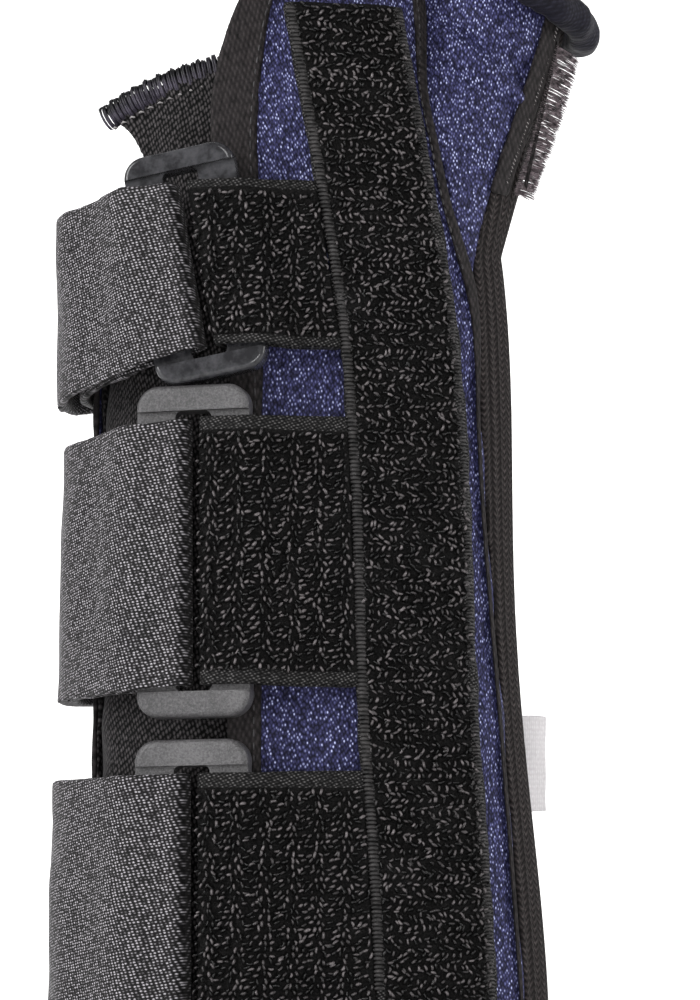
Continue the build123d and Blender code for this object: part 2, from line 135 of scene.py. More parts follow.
def vertices_of(mesh):
    points = np.empty(len(mesh.vertices) * 3)
    mesh.vertices.foreach_get("co", points)
    return points.reshape(-1, 3)


def normals_of(mesh):
    normals = np.empty(len(mesh.vertices) * 3)
    mesh.vertex_normals.foreach_get("vector", normals)
    return normals.reshape(-1, 3)


def wrap_uv(mesh, facing=False):
    """UV in metres: distance round the arm (or straight across, if facing) and height, for the weaves."""
    points = vertices_of(mesh)
    angles = arm_angle(points)
    middle = np.degrees(np.arctan2(np.sin(np.radians(angles)).mean(), np.cos(np.radians(angles)).mean()))
    angles = middle + (angles - middle + 180) % 360 - 180
    around = points[:, 0] * 1.15 if facing else np.interp(angles, WHOLE_TURNS, ARC)
    corners = np.empty(len(mesh.loops), int)
    mesh.loops.foreach_get("vertex_index", corners)
    layer = mesh.uv_layers.new(name="wrap")
    layer.data.foreach_set("uv", np.stack([around, points[:, 2]], 1)[corners].ravel())


def smooth_waves(points, amount, size, seed, count=9):
    """A gentle random height at each point: a sum of sine waves about one size."""
    chance = np.random.default_rng(seed)
    total = np.zeros(len(points))
    for _ in range(count):
        direction = chance.normal(size=3)
        direction /= np.linalg.norm(direction)
        turns = 2 * math.pi / (size * chance.uniform(0.6, 1.6))
        total += np.sin(points @ direction * turns + chance.uniform(0, 6.3))
    return amount * total / math.sqrt(count / 2)


def linked(name, data):
    """A new object in the scene."""
    obj = bpy.data.objects.new(name, data)
    bpy.context.scene.collection.objects.link(obj)
    return obj


def applied(obj):
    """The mesh of an object with its modifiers applied. The object itself is removed."""
    ready = bpy.context.evaluated_depsgraph_get()
    mesh = bpy.data.meshes.new_from_object(obj.evaluated_get(ready))
    bpy.data.objects.remove(obj)
    return mesh


def add_object(name, mesh, body, look, replaced=()):
    """Link a finished mesh, attach it to the body it rides on, and hide the CAD parts that it stands for."""
    obj = linked(name, mesh)
    mesh.materials.clear()
    mesh.materials.append(look)
    for polygon in mesh.polygons:
        polygon.material_index = 0
    mesh.shade_smooth()
    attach(obj, body)
    if replaced:
        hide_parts(*replaced)
    return obj


def remeshed(node, voxel, passes=3):
    """A new even mesh of one CAD solid, with its sharp edges softened as sewn fabric's are."""
    source = frame["nodes"][node]
    holder = linked("holder", source.data.copy())
    remesh = holder.modifiers.new("remesh", "REMESH")
    remesh.mode = "VOXEL"
    remesh.voxel_size = voxel * MM
    soften = holder.modifiers.new("soften", "SMOOTH")
    soften.factor = 0.5
    soften.iterations = passes
    return applied(holder)


def soft_piece(node, look, voxel, passes=3, shape=None):
    """The fabric piece that stands for one CAD node; shape moves its points if it is given."""
    mesh = remeshed(node, voxel, passes)
    normals = normals_of(mesh)
    points = vertices_of(mesh) + normals * FILL
    if shape:
        points = shape(points, normals)
    mesh.vertices.foreach_set("co", points.ravel())
    mesh.update()
    wrap_uv(mesh, facing=node in FACING)
    body = frame["nodes"][node]["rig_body"]
    return add_object(node + "_fabric", mesh, body, look, [node])


def lumpy(amount, size, seed):
    """A shape that swells and sinks a little along its normals."""
    def shape(points, normals):
        return points + normals * smooth_waves(points, amount * MM, size * MM, seed)[:, None]
    return shape


def through_ring(across, shares, amount, seed):
    """A lumpy shape, thinner where the strap passes through its ring; across is X in millimetres."""
    def shape(points, normals):
        near = np.interp(points[:, 0] / MM, across, shares)
        swell = smooth_waves(points, amount * MM, 13 * MM, seed) * (1 - near) - RING_PINCH * near
        return points + normals * swell[:, None]
    return shape


class Yarn:
    """Thin tubes gathered into one mesh."""

    def __init__(self):
        self.points = []
        self.faces = []
        self.tones = []
        self.total = 0

    def add(self, paths, hints, radius, sides=4, blunt=0.15, tone=0.5):
        """Tubes along paths (count, steps, 3) in metres; hints point off a path, tone lightens its yarn and
        carries some painted highlights.
        """
        paths = np.asarray(paths, float)
        hints = np.broadcast_to(np.asarray(hints, float), paths.shape)
        along = np.gradient(paths, axis=1)
        along /= np.linalg.norm(along, axis=2, keepdims=True) + 1e-12
        aside = np.cross(along, hints)
        aside /= np.linalg.norm(aside, axis=2, keepdims=True) + 1e-12
        out = np.cross(aside, along)
        turns = 2 * math.pi * np.arange(sides) / sides
        count, steps = paths.shape[:2]
        radii = np.broadcast_to(np.asarray(radius, float), (count, steps)).copy()
        radii[:, [0, -1]] *= blunt
        spread = np.cos(turns)[:, None] * aside[:, :, None, :] + np.sin(turns)[:, None] * out[:, :, None, :]
        rings = paths[:, :, None, :] + radii[:, :, None, None] * spread
        index = self.total + np.arange(count * steps * sides).reshape(count, steps, sides)
        turned = np.roll(index, -1, axis=2)
        quads = np.stack([index[:, :-1], turned[:, :-1], turned[:, 1:], index[:, 1:]], -1)
        self.points.append(rings.reshape(-1, 3))
        self.faces.append(quads.reshape(-1, 4))
        tones = np.broadcast_to(np.asarray(tone, float), (count, steps))
        self.tones.append(np.repeat(tones[:, :, None], sides, axis=2).ravel())
        self.total += count * steps * sides

    def mesh(self, name):
        mesh = bpy.data.meshes.new(name)
        mesh.from_pydata(np.concatenate(self.points), [], np.concatenate(self.faces).tolist())
        tone = mesh.attributes.new("tone", "FLOAT", "POINT")
        tone.data.foreach_set("value", np.concatenate(self.tones))
        mesh.update()
        return mesh


def tree_of(node):
    mesh = frame["nodes"][node].data
    return BVHTree.FromPolygons([v.co for v in mesh.vertices], [p.vertices for p in mesh.polygons])


def surface_point(tree, x, z, toward=1.0):
    """Where a line along Y at (x, z) millimetres meets the tree: toward 1 from the front, -1 from behind."""
    start = Vector((x * MM, -REACH * toward, z * MM))
    point, normal, _, _ = tree.ray_cast(start, Vector((0, toward, 0)))
    if point is None:
        return None
    if normal.y * toward > 0:
        normal = -normal
    return point, normal


def even_line(points, pitch):
    """Points one pitch apart on a smooth curve through (x, z) millimetre points, and the way to its left."""
    points = np.array(points, float)
    spread = np.concatenate([[0], np.cumsum(np.linalg.norm(np.diff(points, axis=0), axis=1))])
    fine = np.linspace(0, spread[-1], 600)
    slopes = np.gradient(points, spread, axis=0)
    index = np.clip(np.searchsorted(spread, fine, side="right") - 1, 0, len(points) - 2)
    width = (spread[index + 1] - spread[index])[:, None]
    t = ((fine - spread[index])[:, None]) / width
    curve = (
        (2 * t ** 3 - 3 * t ** 2 + 1) * points[index] + (t ** 3 - 2 * t ** 2 + t) * width * slopes[index]
        + (3 * t ** 2 - 2 * t ** 3) * points[index + 1] + (t ** 3 - t ** 2) * width * slopes[index + 1]
    )
    lengths = np.concatenate([[0], np.cumsum(np.linalg.norm(np.diff(curve, axis=0), axis=1))])
    stations = np.arange(0, lengths[-1], pitch)
    line = np.stack([np.interp(stations, lengths, curve[:, k]) for k in (0, 1)], 1)
    ahead = np.gradient(line, axis=0)
    ahead /= np.linalg.norm(ahead, axis=1, keepdims=True)
    return line, np.stack([-ahead[:, 1], ahead[:, 0]], 1)


def stitch_row(
    yarn, tree, line, pitch=2.4, share=0.72, radius=0.19, toward=1.0, slant=0.0, offset=0.0, lift=0.06
):
    """Separate stitches along a line of (x, z) millimetre points laid on a surface."""
    stations, left = even_line(line, pitch / 4)
    stations = stations + left * offset
    for first in range(0, len(stations) - 4, 4):
        ends = [first, first + int(round(4 * share))]
        low = stations[ends[0]] - left[ends[0]] * slant
        high = stations[ends[1]] + left[ends[1]] * slant
        path = []
        for t in np.linspace(0, 1, 5):
            x, z = low + (high - low) * t
            hit = surface_point(tree, x, z, toward)
            if hit is None:
                break
            rise = (lift + radius * 0.9 * math.sin(math.pi * t) - 0.1) * MM
            path.append(hit[0] + hit[1] * rise)
            normal = hit[1]
        if len(path) == 5:
            yarn.add([path], normal, radius * MM, sides=5, blunt=0.4)


def loop_field(yarn, spots, half_length, height, radius, turn_of, steps=7):
    """Small arched yarn loops at (point, normal, column, row) spots; turn_of gives each one's direction, and
    each loop's tone paints a highlight on its top.
    """
    if not spots:
        return
    points = np.array([s[0] for s in spots])
    normals = np.array([s[1] for s in spots])
    turns = np.array([turn_of(s[2], s[3]) for s in spots]) + RANDOM.normal(0, 0.28, len(spots))
    upward = np.array([0.0, 0, 1]) - normals * normals[:, 2:3]
    upward /= np.linalg.norm(upward, axis=1, keepdims=True)
    sideways = np.cross(upward, normals)
    along = upward * np.cos(turns)[:, None] + sideways * np.sin(turns)[:, None]
    lengths = half_length * RANDOM.uniform(0.75, 1.3, len(spots)) * MM
    heights = height * RANDOM.uniform(0.6, 1.35, len(spots)) * MM
    lean = RANDOM.normal(0, 0.28, len(spots)) * MM
    across = np.cross(normals, along)
    s = np.linspace(0.05, 0.95, steps) * math.pi
    paths = (
        points[:, None, :]
        - along[:, None, :] * (np.cos(s) * lengths[:, None])[:, :, None]
        + normals[:, None, :] * (np.sin(s) * heights[:, None] - 0.15 * MM)[:, :, None]
        + across[:, None, :] * (np.sin(s) * lean[:, None])[:, :, None]
    )
    # painted highlight: each loop's tone rises towards its top, where light catches it, by a random amount
    # per loop
    lightness = RANDOM.uniform(0.15, 1.0, (len(spots), 1)) ** 1.3
    tip_highlight = np.clip(np.sin(s)[None, :] * 1.7 - 0.75, 0, 1) * lightness
    yarn.add(paths, across[:, None, :], radius * MM * RANDOM.uniform(0.8, 1.2, (len(spots), 1)), tone=tip_highlight)


STRIP_CURVE = even_line(FRONT_STRIP_LINE, 0.5)[0]


def strip_middle(level):
    """X of the middle of the front strip at one level, in millimetres."""
    return float(np.interp(level, STRIP_CURVE[:, 1], STRIP_CURVE[:, 0]))


# ---------------------------------------------------------------- materials
def new_material(name):
    material = bpy.data.materials.new(name)
    material.use_nodes = True
    tree = material.node_tree
    shader = tree.nodes["Principled BSDF"]
    return material, tree, shader


def node(tree, kind, inputs=None, **settings):
    made = tree.nodes.new(kind)
    for key, value in settings.items():
        setattr(made, key, value)
    for key, value in (inputs or {}).items():
        if isinstance(value, bpy.types.NodeSocket):
            tree.links.new(value, made.inputs[key])
        else:
            made.inputs[key].default_value = value
    return made


def ramp(tree, factor, stops):
    made = tree.nodes.new("ShaderNodeValToRGB")
    tree.links.new(factor, made.inputs[0])
    elements = made.color_ramp.elements
    while len(elements) < len(stops):
        elements.new(0.5)
    for element, (position, colour) in zip(elements, stops):
        element.position = position
        element.color = (*colour, 1)
    return made.outputs[0]


def maths(tree, operation, a, b=0.0, c=0.0):
    made = tree.nodes.new("ShaderNodeMath")
    made.operation = operation
    for index, value in enumerate((a, b, c)):
        if isinstance(value, bpy.types.NodeSocket):
            tree.links.new(value, made.inputs[index])
        else:
            made.inputs[index].default_value = value
    return made.outputs[0]


def fabric_coordinates(tree, size_u, size_v, turn=0.0):
    """Wrap coordinates in cells of the given size in millimetres, turned by some degrees."""
    uv = node(tree, "ShaderNodeUVMap", uv_map="wrap").outputs[0]
    turned = node(
        tree, "ShaderNodeMapping",
        {"Vector": uv, "Rotation": (0, 0, math.radians(turn)), "Scale": (1000 / size_u, 1000 / size_v, 1)},
    )
    return turned.outputs[0]


def object_noise(tree, size, detail=3.0, roughness=0.5):
    """Noise in object space whose features are about one size in millimetres."""
    place = node(tree, "ShaderNodeTexCoord").outputs["Object"]
    made = node(
        tree, "ShaderNodeTexNoise",
        {"Vector": place, "Scale": 1000 / size, "Detail": detail, "Roughness": roughness},
    )
    return made.outputs[0]


def mix_colour(tree, factor, low, high):
    made = tree.nodes.new("ShaderNodeMix")
    made.data_type = "RGBA"
    for socket, value in ((made.inputs[0], factor), (made.inputs[6], low), (made.inputs[7], high)):
        if isinstance(value, bpy.types.NodeSocket):
            tree.links.new(value, socket)
        elif isinstance(value, tuple):
            socket.default_value = (*value, 1)
        else:
            socket.default_value = value
    return made.outputs[2]


def finish_fabric(tree, shader, colour, height, bump, distance, rough, sheen, tint):
    """Join a colour and a height to the shader, with the cloth's own roughness and sheen."""
    tree.links.new(colour, shader.inputs["Base Color"])
    made = node(tree, "ShaderNodeBump", {"Height": height, "Strength": bump, "Distance": distance * MM})
    tree.links.new(made.outputs[0], shader.inputs["Normal"])
    uneven = object_noise(tree, 1.1, 2.0)
    spread = maths(tree, "MULTIPLY_ADD", uneven, 0.24, rough - 0.12)
    tree.links.new(spread, shader.inputs["Roughness"])
    shader.inputs["Sheen Weight"].default_value = sheen * SHEEN_SHARE
    shader.inputs["Sheen Roughness"].default_value = 0.45
    shader.inputs["Sheen Tint"].default_value = (*tint, 1)
    shader.inputs["Specular IOR Level"].default_value = 0.12


def navy_mesh_material():
    """Knitted mesh: staggered bright dashes of painted highlight on the yarn over dark navy gaps."""
    material, tree, shader = new_material("navy_mesh_knit")
    cells = fabric_coordinates(tree, 0.52, 0.82, 34)
    dashes = node(tree, "ShaderNodeTexVoronoi", {"Vector": cells, "Scale": 1.0, "Randomness": 0.6})
    distance = dashes.outputs["Distance"]
    patches = object_noise(tree, 7.0, 4.0)
    chance = node(tree, "ShaderNodeSeparateColor", {"Color": dashes.outputs["Color"]}).outputs[0]
    # painted highlight: the pale blue dashes stand for light caught on the yarn, stronger in random patches
    lit = maths(tree, "MULTIPLY", chance, maths(tree, "ADD", patches, 0.15))
    bright = ramp(tree, lit, [(0.1, (0.13, 0.14, 0.32)), (0.6, (0.62, 0.67, 1.0))])
    knit = ramp(tree, distance, [(0.34, (0.05, 0.05, 0.14)), (0.7, (0.006, 0.006, 0.02))])
    near = ramp(tree, distance, [(0.16, (1, 1, 1)), (0.36, (0, 0, 0))])
    colour = mix_colour(tree, near, knit, bright)
    height = maths(tree, "SUBTRACT", 1.0, distance)
    finish_fabric(tree, shader, colour, height, 0.75, 0.35, 0.5, 0.35, (0.6, 0.65, 1.0))
    return material


def rib_knit_material():
    """Warm dark grey knit: upright chains of small V stitches."""
    material, tree, shader = new_material("rib_knit_chains")
    cells = fabric_coordinates(tree, 1.55, 1.3)
    parts = node(tree, "ShaderNodeSeparateXYZ", {"Vector": cells})
    column = maths(tree, "PINGPONG", parts.outputs[0], 0.5)
    slanted = maths(tree, "MULTIPLY_ADD", column, 1.5, parts.outputs[1])
    rows = maths(tree, "PINGPONG", slanted, 0.5)
    ridge = maths(tree, "MULTIPLY", maths(tree, "POWER", column, 0.5), maths(tree, "MULTIPLY", rows, 3.0))
    fuzz = object_noise(tree, 0.7, 4.0, 0.7)
    height = maths(tree, "MULTIPLY", ridge, maths(tree, "MULTIPLY_ADD", fuzz, 1.9, -0.2))
    colour = ramp(tree, height, [(0.08, (0.006, 0.005, 0.005)), (0.45, (0.028, 0.023, 0.023)),
                                 (0.95, (0.1, 0.085, 0.085))])
    finish_fabric(tree, shader, colour, height, 0.9, 0.4, 0.72, 0.3, (0.9, 0.8, 0.75))
    return material


def twill_material(name, dark, light, pitch=0.62, turn=52.0):
    """Woven twill tape: fine slanting ribs broken by the cross threads."""
    material, tree, shader = new_material(name)
    cells = fabric_coordinates(tree, pitch, pitch * 2.2, turn)
    threads = node(tree, "ShaderNodeTexVoronoi", {"Vector": cells, "Scale": 1.0, "Randomness": 0.25})
    threads.feature = "SMOOTH_F1"
    fuzz = object_noise(tree, 0.35, 2.0)
    height = maths(tree, "SUBTRACT", maths(tree, "MULTIPLY", fuzz, 0.3), threads.outputs["Distance"])
    tone = maths(tree, "ADD", height, 0.85)
    colour = ramp(tree, tone, [(0.42, dark), (0.95, light)])
    finish_fabric(tree, shader, colour, height, 0.7, 0.22, 0.62, 0.25, (0.9, 0.88, 0.86))
    return material


def elastic_material():
    """Woven elastic: upright cords crossed by fine rows, which leave a grid of small bright dots."""
    material, tree, shader = new_material("woven_elastic")
    cells = fabric_coordinates(tree, 0.62, 0.54, 14)
    dots = node(tree, "ShaderNodeTexVoronoi", {"Vector": cells, "Scale": 1.0, "Randomness": 0.3})
    parts = node(tree, "ShaderNodeSeparateXYZ", {"Vector": cells})
    cords = maths(tree, "PINGPONG", parts.outputs[0], 0.5)
    drift = object_noise(tree, 14.0, 3.0)
    lumps = maths(tree, "SUBTRACT", 0.9, dots.outputs["Distance"])
    height = maths(tree, "ADD", lumps, maths(tree, "MULTIPLY", cords, 0.5))
    weave = ramp(tree, dots.outputs["Distance"], [(0.14, (0.52, 0.495, 0.53)), (0.33, (0.055, 0.052, 0.055)),
                                                  (0.5, (0.003, 0.0028, 0.003))])
    shade = ramp(tree, drift, [(0.3, (0.02, 0.019, 0.02)), (0.7, (0.06, 0.057, 0.06))])
    colour = mix_colour(tree, 0.1, weave, shade)
    finish_fabric(tree, shader, colour, height, 0.6, 0.25, 0.6, 0.3, (1, 0.97, 0.95))
    return material


def pile_ground_material():
    """The woven ground that the loops stand in: dark, with light ribs that show at its selvedges."""
    material, tree, shader = new_material("pile_ground")
    cells = fabric_coordinates(tree, 0.62, 0.5, 30)
    threads = node(tree, "ShaderNodeTexVoronoi", {"Vector": cells, "Scale": 1.0, "Randomness": 0.3})
    stops = [(0.1, (0.13, 0.125, 0.125)), (0.3, (0.02, 0.019, 0.019)), (0.55, (0.0012, 0.0012, 0.0012))]
    colour = ramp(tree, threads.outputs["Distance"], stops)
    height = maths(tree, "SUBTRACT", 1.0, threads.outputs["Distance"])
    finish_fabric(tree, shader, colour, height, 0.8, 0.25, 0.6, 0.15, (1, 1, 1))
    return material


def pile_shade_material():
    """The ground between the loops, nearly black and fuzzy: the dark weave darkened further as painted shade
    of the loops.
    """
    material, tree, shader = new_material("pile_field")
    fuzz = object_noise(tree, 0.4, 3.0)
    colour = ramp(tree, fuzz, [(0.4, (0.0008, 0.0008, 0.0008)), (0.8, (0.01, 0.009, 0.009))])
    finish_fabric(tree, shader, colour, fuzz, 0.9, 0.3, 0.8, 0.0, (1, 1, 1))
    return material


def yarn_material(name, dark, light, rough, size=1.6, gloss=0.3, spread=(0.34, 0.66)):
    """Bare yarn: a lightly glossy strand whose tone drifts from loop to loop, paler where the tone attribute
    paints highlights.
    """
    material, tree, shader = new_material(name)
    tone = node(tree, "ShaderNodeAttribute", attribute_name="tone").outputs["Fac"]
    drift = maths(tree, "MULTIPLY", object_noise(tree, size, 2.0), maths(tree, "MULTIPLY", tone, 2.0))
    strand = object_noise(tree, 0.16, 2.0)
    colour = ramp(tree, drift, [(spread[0], dark), (spread[1], light)])
    finish_fabric(tree, shader, colour, strand, 0.5, 0.08, rough, 0.0, (1, 1, 1))
    shader.inputs["Specular IOR Level"].default_value = gloss
    return material


def lining_material():
    """Fine diagonal knit of the tongue and lining."""
    material, tree, shader = new_material("lining_knit")
    cells = fabric_coordinates(tree, 0.75, 1.15, 24)
    stitches = node(tree, "ShaderNodeTexVoronoi", {"Vector": cells, "Scale": 1.0, "Randomness": 0.3})
    fuzz = object_noise(tree, 0.3, 2.0)
    height = maths(tree, "SUBTRACT", maths(tree, "MULTIPLY", fuzz, 0.4), stitches.outputs["Distance"])
    tone = maths(tree, "ADD", height, 0.8)
    colour = ramp(tree, tone, [(0.5, (0.0008, 0.0008, 0.0008)), (0.98, (0.1, 0.091, 0.094))])
    finish_fabric(tree, shader, colour, height, 0.8, 0.3, 0.75, 0.3, (0.9, 0.9, 0.95))
    return material


def plastic_material(name, colour, rough, grain, bump):
    """Moulded plastic: fine spark-eroded grain, with paler wear where it is rubbed."""
    material, tree, shader = new_material(name)
    speck = object_noise(tree, grain, 3.0, 0.7)
    wear = object_noise(tree, 9.0, 4.0)
    paler = tuple(min(1.0, c * 2.6 + 0.015) for c in colour)
    marks = maths(tree, "MULTIPLY_ADD", speck, 0.8, maths(tree, "MULTIPLY", wear, 0.4))
    tone = ramp(tree, marks, [(0.5, colour), (0.74, paler)])
    tree.links.new(tone, shader.inputs["Base Color"])
    made = node(tree, "ShaderNodeBump", {"Height": speck, "Strength": bump, "Distance": 0.15 * MM})
    tree.links.new(made.outputs[0], shader.inputs["Normal"])
    spread = maths(tree, "MULTIPLY_ADD", speck, 0.2, rough - 0.1)
    tree.links.new(spread, shader.inputs["Roughness"])
    return material


def metal_material():
    """Satin aluminium, brushed along its length."""
    material, tree, shader = new_material("satin_aluminium")
    place = node(tree, "ShaderNodeTexCoord").outputs["Object"]
    stretched = node(tree, "ShaderNodeMapping", {"Vector": place, "Scale": (5000, 5000, 60)}).outputs[0]
    lines = node(tree, "ShaderNodeTexNoise", {"Vector": stretched, "Scale": 1.0, "Detail": 3.0}).outputs[0]
    tone = ramp(tree, lines, [(0.3, (0.5, 0.51, 0.53)), (0.7, (0.72, 0.73, 0.75))])
    tree.links.new(tone, shader.inputs["Base Color"])
    made = node(tree, "ShaderNodeBump", {"Height": lines, "Strength": 0.25, "Distance": 0.05 * MM})
    tree.links.new(made.outputs[0], shader.inputs["Normal"])
    spread = maths(tree, "MULTIPLY_ADD", lines, 0.2, 0.26)
    tree.links.new(spread, shader.inputs["Roughness"])
    shader.inputs["Metallic"].default_value = 1.0
    return material


NAVY = navy_mesh_material()
KNIT = rib_knit_material()
TAPE = twill_material("twill_tape", (0.001, 0.0009, 0.0009), (0.04, 0.034, 0.035), 0.75)
ELASTIC = elastic_material()
PILE_GROUND = pile_ground_material()
PILE_SHADE = pile_shade_material()
# this light colour shows only where the loops' tone paints a highlight on their tops
PILE_YARN = yarn_material(
    "pile_yarn", (0.0015, 0.0013, 0.0013), (0.14, 0.125, 0.128), 0.3, 2.2, gloss=0.4, spread=(0.22, 1.0)
)
RIB_YARN = yarn_material("selvedge_yarn", (0.008, 0.0075, 0.0075), (0.045, 0.042, 0.042), 0.4)
THREAD = yarn_material("sewing_thread", (0.012, 0.011, 0.012), (0.06, 0.057, 0.06), 0.35)
PALE_THREAD = yarn_material("pale_thread", (0.16, 0.15, 0.15), (0.34, 0.32, 0.32), 0.45)
# this light colour shows mostly where the coil's tone paints its highlights
SERGE_YARN = yarn_material(
    "serging_yarn", (0.002, 0.0018, 0.003), (0.07, 0.062, 0.085), 0.32, 2.6, gloss=0.3, spread=(0.35, 1.0)
)
# the filaments are dark brown; the pale end of this colour paints highlights along them at random places
FRINGE = yarn_material("fringe_filament", (0.016, 0.011, 0.013), (0.3, 0.24, 0.26), 0.3, 0.8, gloss=0.5)
LINING = lining_material()
HOOK = plastic_material("hook_plastic", (0.02, 0.017, 0.016), 0.45, 0.4, 0.3)
RING_MATT = plastic_material("ring_matt_plastic", (0.036, 0.0345, 0.036), 0.4, 0.42, 1.0)
RING_GLOSS = plastic_material("ring_gloss_plastic", (0.014, 0.014, 0.016), 0.18, 3.0, 0.05)
METAL = metal_material()
LABEL = twill_material("label_ribbon", (0.66, 0.63, 0.645), (0.86, 0.84, 0.85), 0.45, 0.0)
COLLAR = twill_material("collar_jersey", (0.003, 0.003, 0.005), (0.022, 0.021, 0.034), 0.4, 20.0)


# ---------------------------------------------------------------- the shell
def gusset_folds(points, normals):
    """The loose web of cloth beside the thumb: a slanting ridge with a deep fold above it."""
    x = points[:, 0] / MM
    z = points[:, 2] / MM
    past = (x - 35.5) * 0.62 + (z - 200.5) * 0.78
    ridge = 1.3 * np.exp(-((past / 1.7) ** 2)) + 0.35 * np.exp(-(((past + 6.5) / 2.0) ** 2))
    fold = 1.45 * np.exp(-(((past - 4.2) / 2.3) ** 2)) + 0.5 * np.exp(-(((past + 3.4) / 1.6) ** 2))
    slack = np.clip((x - 25.5) / 3, 0, 1) * np.clip((z - 176) / 14, 0, 1)
    slack = slack * np.clip(-1.6 * normals[:, 1], 0, 1)
    return points + normals * ((ridge - fold) * slack * MM)[:, None]


def knit_ribs(points, normals):
    """Upright ribs round the knit panel."""
    around = np.interp(arm_angle(points), WHOLE_TURNS, ARC) / MM
    return points + normals * (0.22 * MM * np.cos(around * 2 * math.pi / 2.7))[:, None]


def panel(name, look, voxel, shape):
    made = soft_piece(name, look, voxel, shape=shape)
    return made


liner = soft_piece("liner", LINING, 0.85, shape=lumpy(0.12, 12, 21))
panel("shell_front_panel", NAVY, 0.72, lumpy(0.2, 15, 1))
panel("shell_back_panel", NAVY, 0.8, lumpy(0.22, 18, 2))
panel("side_knit_panel", KNIT, 0.6, knit_ribs)
panel("thumb_gusset", NAVY, 0.6, gusset_folds)
tongue = soft_piece("tongue_pad", LINING, 0.75, shape=lumpy(0.3, 16, 5))


# ---------------------------------------------------------------- tapes and their stitches
def rolled_seam(points, normals):
    """Below the thumb V the tape is tucked under, so only a narrow roll shows along the knit panel."""
    centre, half_width, half_depth = section_through(points)
    line = even_line(SEAM_LINE, 0.5)[0][::-1]
    seam = np.interp(points[:, 2] / MM, line[:, 1], line[:, 0])
    width = np.interp(points[:, 2] / MM, SEAM_ROLL_LEVELS, [0.3, 1.0])
    x = seam + (points[:, 0] / MM - seam) * width
    share = np.clip(np.abs((x - centre) / half_width), 0, 0.995)
    moved = points.copy()
    moved[:, 0] = x * MM
    moved[:, 1] = -half_depth * (1 - share ** SQUARENESS) ** (1 / SQUARENESS) * MM
    low = points[:, 2] < SEAM_ROLL_LEVELS[1] * MM
    return np.where(low[:, None], moved, points)


for tape_node in ["opening_binding", "rear_edge_binding", "proximal_binding", "thumb_tape"]:
    soft_piece(tape_node, TAPE, 0.42, 2, lumpy(0.05, 6, 31))
soft_piece("seam_tape", TAPE, 0.36, 2, rolled_seam)
pocket = soft_piece("stay_pocket_back", TAPE, 0.6, 3, lumpy(0.12, 14, 9))

stitches = Yarn()
binding_tree = tree_of("opening_binding")
inner_line = [
    (-8.6, 12), (-8.6, 60), (-8.6, 130), (-8.9, 165), (-9.6, 188), (-8.3, 201),
    (-5.3, 213.5), (3, 223.5), (11, 226.3), (17, 224.5),
]
stitch_row(stitches, binding_tree, inner_line)
stitch_row(stitches, tree_of("rear_edge_binding"), BACK_EDGE_LINE, toward=-1.0, offset=-3.4)
seam_line = [(22.0, 218), (22.9, 208), (22.9, 196), (25.0, 184), (27.4, 172), (31.8, 158)]
stitch_row(stitches, tree_of("seam_tape"), seam_line, pitch=1.8)
back_pocket_tree = tree_of("stay_pocket_back")
for x in (4.4, 23.6):
    stitch_row(stitches, back_pocket_tree, [(x, 11), (x, 100), (x, 194.5)], toward=-1.0)
stitch_row(stitches, back_pocket_tree, [(4.4, 11.5), (14, 11.5), (23.6, 11.5)], toward=-1.0)
hem_tree = tree_of("proximal_binding")
for toward, low, high in ((1.0, -10, 46), (-1.0, -38, 46)):
    stitch_row(stitches, hem_tree, [(low, 7.7), (0, 7.7), (high, 7.7)], toward=toward)
add_object("tape_stitches", stitches.mesh("tape_stitches"), "splint", THREAD)

zigzag = Yarn()
thumb_tree = tree_of("thumb_tape")
stitch_row(
    zigzag, thumb_tree, THUMB_TAPE_LINE[1:], pitch=0.8, share=0.6, radius=0.13, offset=-2.6, slant=0.28
)
add_object("thumb_zigzag", zigzag.mesh("thumb_zigzag"), "splint", PALE_THREAD)


# ---------------------------------------------------------------- loop pile
def spots_on(node_name, columns, rows, place, toward=1.0, jitter=0.22):
    """Surface spots for loops on one CAD node, in staggered rows."""
    tree = tree_of(node_name)
    found = []
    for row, level in enumerate(rows):
        for column, across in enumerate(columns):
            shift = 0.5 * (columns[1] - columns[0]) * (row % 2)
            x = place(across + shift + RANDOM.normal(0, jitter), level)
            hit = surface_point(tree, x, level + RANDOM.normal(0, jitter), toward)
            if hit:
                found.append((*hit, column, row))
    return found


def across_turn(column, row):
    """Loops of the long strips: rows that slant one way between rows that slant the other."""
    return [0.5, -1.05, -0.4, 1.1][row % 4]


def column_turn(column, row):
    """Loops of the anchor straps: columns that slant, and columns that stand upright."""
    return [1.2, 1.05, 0.2, -0.25][column % 4]


def shade_under_loops(obj, inside):
    """Give the faces under the loops a near-black ground as painted shade; inside(x, z) says which, in
    millimetres.
    """
    mesh = obj.data
    # painted shade: the weave under the loops is made near-black for the shade they cast
    mesh.materials.append(PILE_SHADE)
    for polygon in mesh.polygons:
        if inside(polygon.center.x / MM, polygon.center.z / MM):
            polygon.material_index = 1


strip = soft_piece("stay_pocket_front", PILE_GROUND, 0.6, 2, lumpy(0.1, 12, 12))
shade_under_loops(strip, lambda x, z: -9.3 < x - strip_middle(z) < 9.5)
strip_yarn = Yarn()
columns = np.arange(-9.0, 9.6, 1.16)
rows = np.arange(10.6, 210.4, 1.18)
strip_spots = spots_on("stay_pocket_front", columns, rows, lambda s, z: strip_middle(z) + s)
loop_field(strip_yarn, strip_spots, 0.6, 0.8, 0.24, across_turn)
add_object("front_strip_loops", strip_yarn.mesh("front_strip_loops"), "splint", PILE_YARN)

landing = soft_piece("back_landing_strip", PILE_GROUND, 0.55, 2)
shade_under_loops(landing, lambda x, z: -26.4 < x < -0.4 and 10.4 < z < 180)
landing_yarn = Yarn()
columns = np.arange(-26.0, -0.6, 1.42)
rows = np.arange(10.8, 180.2, 1.4)
landing_spots = spots_on("back_landing_strip", columns, rows, lambda s, z: s, toward=-1.0)
loop_field(landing_yarn, landing_spots, 0.66, 0.7, 0.26, across_turn)
add_object("back_landing_loops", landing_yarn.mesh("back_landing_loops"), "splint", PILE_YARN)

